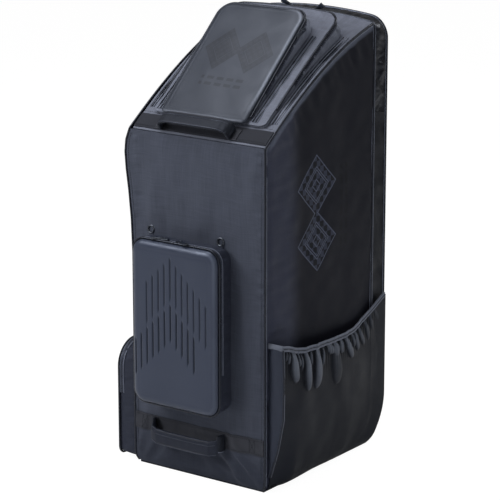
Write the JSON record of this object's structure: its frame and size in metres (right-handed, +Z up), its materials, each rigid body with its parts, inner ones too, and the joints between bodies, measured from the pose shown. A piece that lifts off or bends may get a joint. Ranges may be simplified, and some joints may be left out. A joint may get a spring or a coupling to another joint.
{
  "type": "cricket kit bag",
  "caption": "Tall upright soft kit bag with a sloping shoulder, stacked zipped lid compartments, a moulded front pocket, a gathered side pocket and grab handles.",
  "frame": {"origin": "on the ground under the body, centred between the side panels and between the front face and the back panel", "axes": "+Z up, -Y the front with the moulded pocket, +X the side with the gathered elastic pocket"},
  "size_m": [0.4242, 0.4871, 0.9432],
  "materials": {
    "slate_cloth": "fine woven slate blue-grey polyester, matt",
    "dark_cloth": "smooth near-black navy woven polyester",
    "coated_cloth": "coated black cloth with a soft shine and crinkles",
    "satin_panel": "smooth satin coated panel, padded",
    "moulded_panel": "smooth moulded coated panel over foam",
    "webbing": "ribbed webbing, matt black",
    "handle_cloth": "padded strap cloth",
    "piping": "wrapped cord piping with a light edge highlight",
    "zip": "coil zip and its tape",
    "hem": "elastic binding",
    "pull_metal": "dark gunmetal"
  },
  "bodies": {
    "root": {"base_panel": "dark_cloth", "front_panel": "slate_cloth", "side_panel_right": "dark_cloth", "side_panel_left": "dark_cloth", "main_top_panel": "slate_cloth", "edge_piping_right": "piping", "edge_piping_left": "piping", "rear_gusset_right": "dark_cloth", "rear_gusset_left": "dark_cloth", "rear_zip_band": "coated_cloth", "rear_seam_piping": "piping", "back_panel": "dark_cloth", "back_piping": "piping", "mid_gusset": "slate_cloth", "mid_panel": "slate_cloth", "mid_piping": "piping", "mid_zip": "zip", "mid_zip_pull_left": "pull_metal", "mid_zip_pull_right": "pull_metal", "lid_gusset": "slate_cloth", "lid_panel": "satin_panel", "lid_piping": "piping", "lid_zip": "zip", "lid_zip_pull": "pull_metal", "top_band": "webbing", "bottom_band": "webbing", "top_handle": "handle_cloth", "bottom_handle": "handle_cloth", "front_pocket_panel": "moulded_panel", "front_pocket_gusset": "slate_cloth", "front_pocket_piping": "piping", "front_pocket_zip": "zip", "front_pocket_pull_left": "pull_metal", "front_pocket_pull_right": "pull_metal", "front_pocket_ring_left": "pull_metal", "front_pocket_ring_right": "pull_metal", "left_pocket_panel": "dark_cloth", "left_pocket_gusset": "slate_cloth", "left_pocket_piping": "piping", "left_pocket_zip": "zip", "left_pocket_pull": "pull_metal", "side_pocket_front": "dark_cloth", "side_pocket_gusset": "slate_cloth", "side_pocket_piping": "piping", "side_pocket_hem": "hem"}
  },
  "joints": []
}
